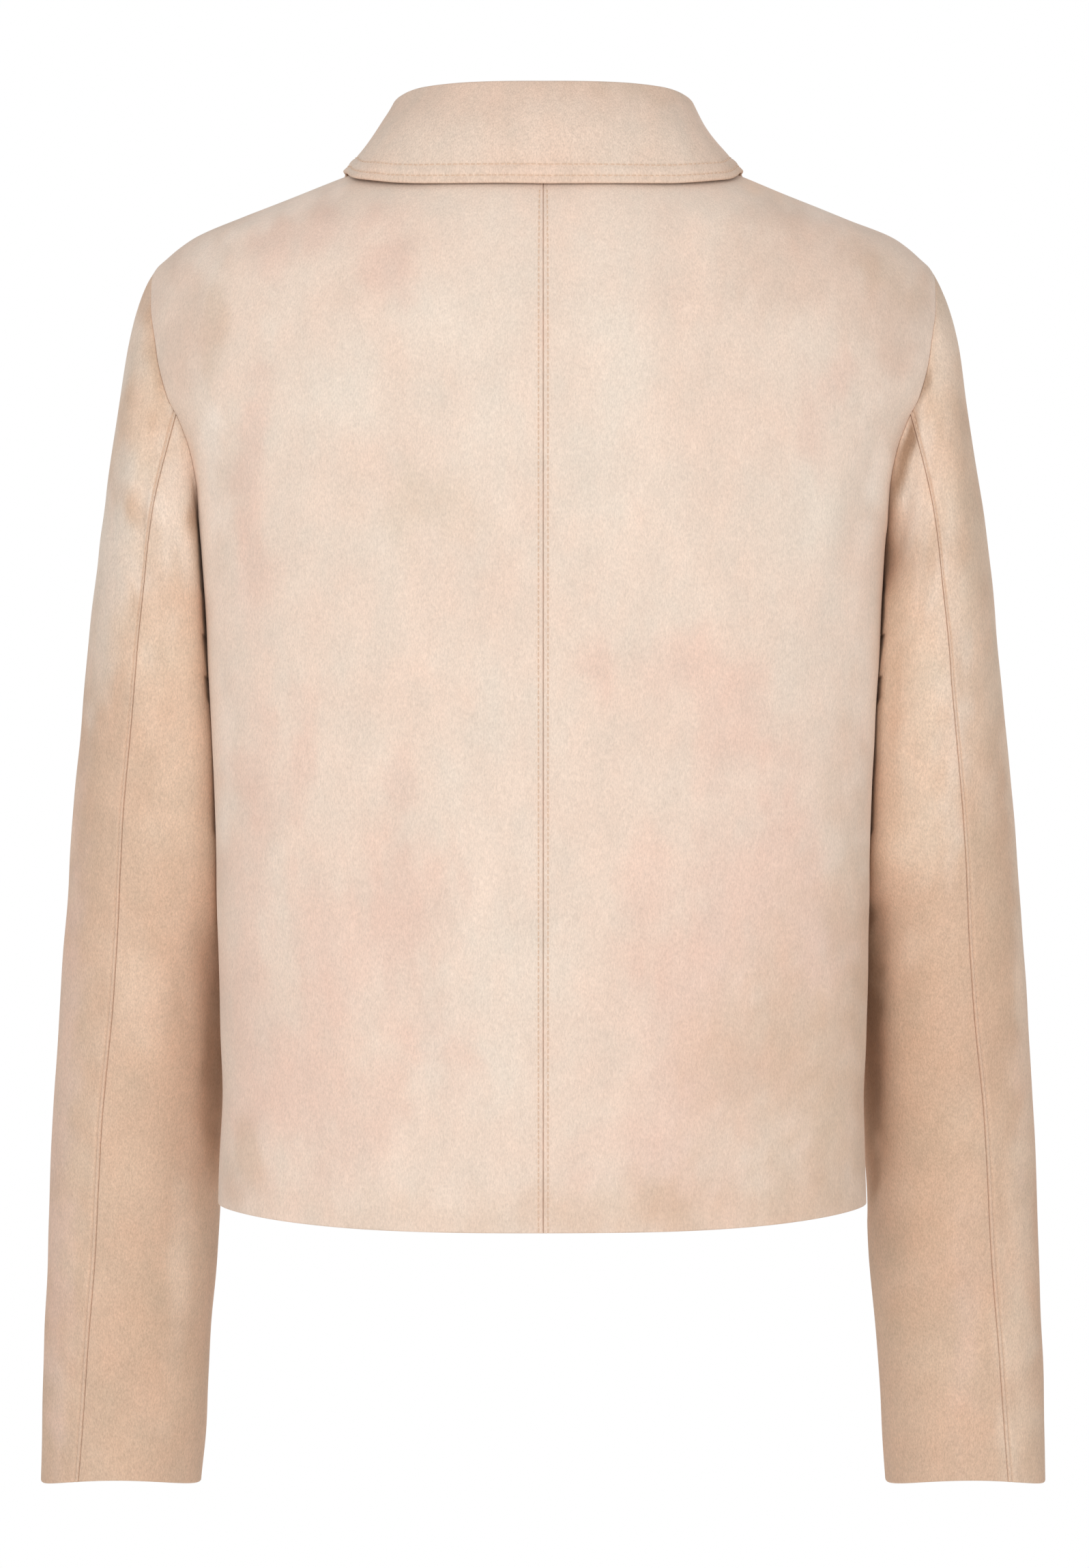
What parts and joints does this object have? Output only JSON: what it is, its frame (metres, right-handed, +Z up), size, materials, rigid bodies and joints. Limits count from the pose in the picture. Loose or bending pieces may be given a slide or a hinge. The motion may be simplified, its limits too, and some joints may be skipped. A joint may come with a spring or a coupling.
{
  "type": "suede jacket",
  "caption": "Short straight suede jacket with a turned-down collar, centre back seam, long two-piece sleeves and a lapped buttoned front, filled out as worn.",
  "frame": {"origin": "midway between the two side neck points, where the wearer's shoulders carry the jacket", "axes": "+Z up, -Y towards the front of the jacket, +X towards the wearer's left sleeve"},
  "size_m": [0.5206, 0.2409, 0.7108],
  "materials": {
    "suede": "pale beige suede with a short brushed nap, cream and rosy by turns as the nap lies",
    "button": "plain satin resin, close to the suede in colour"
  },
  "bodies": {
    "root": {"back_left": "suede", "back_right": "suede", "front_left": "suede", "front_right": "suede", "sleeve_left_top": "suede", "sleeve_left_under": "suede", "sleeve_right_top": "suede", "sleeve_right_under": "suede", "collar": "suede", "button_1": "button", "button_2": "button", "button_3": "button", "button_4": "button", "button_5": "button"}
  },
  "joints": []
}
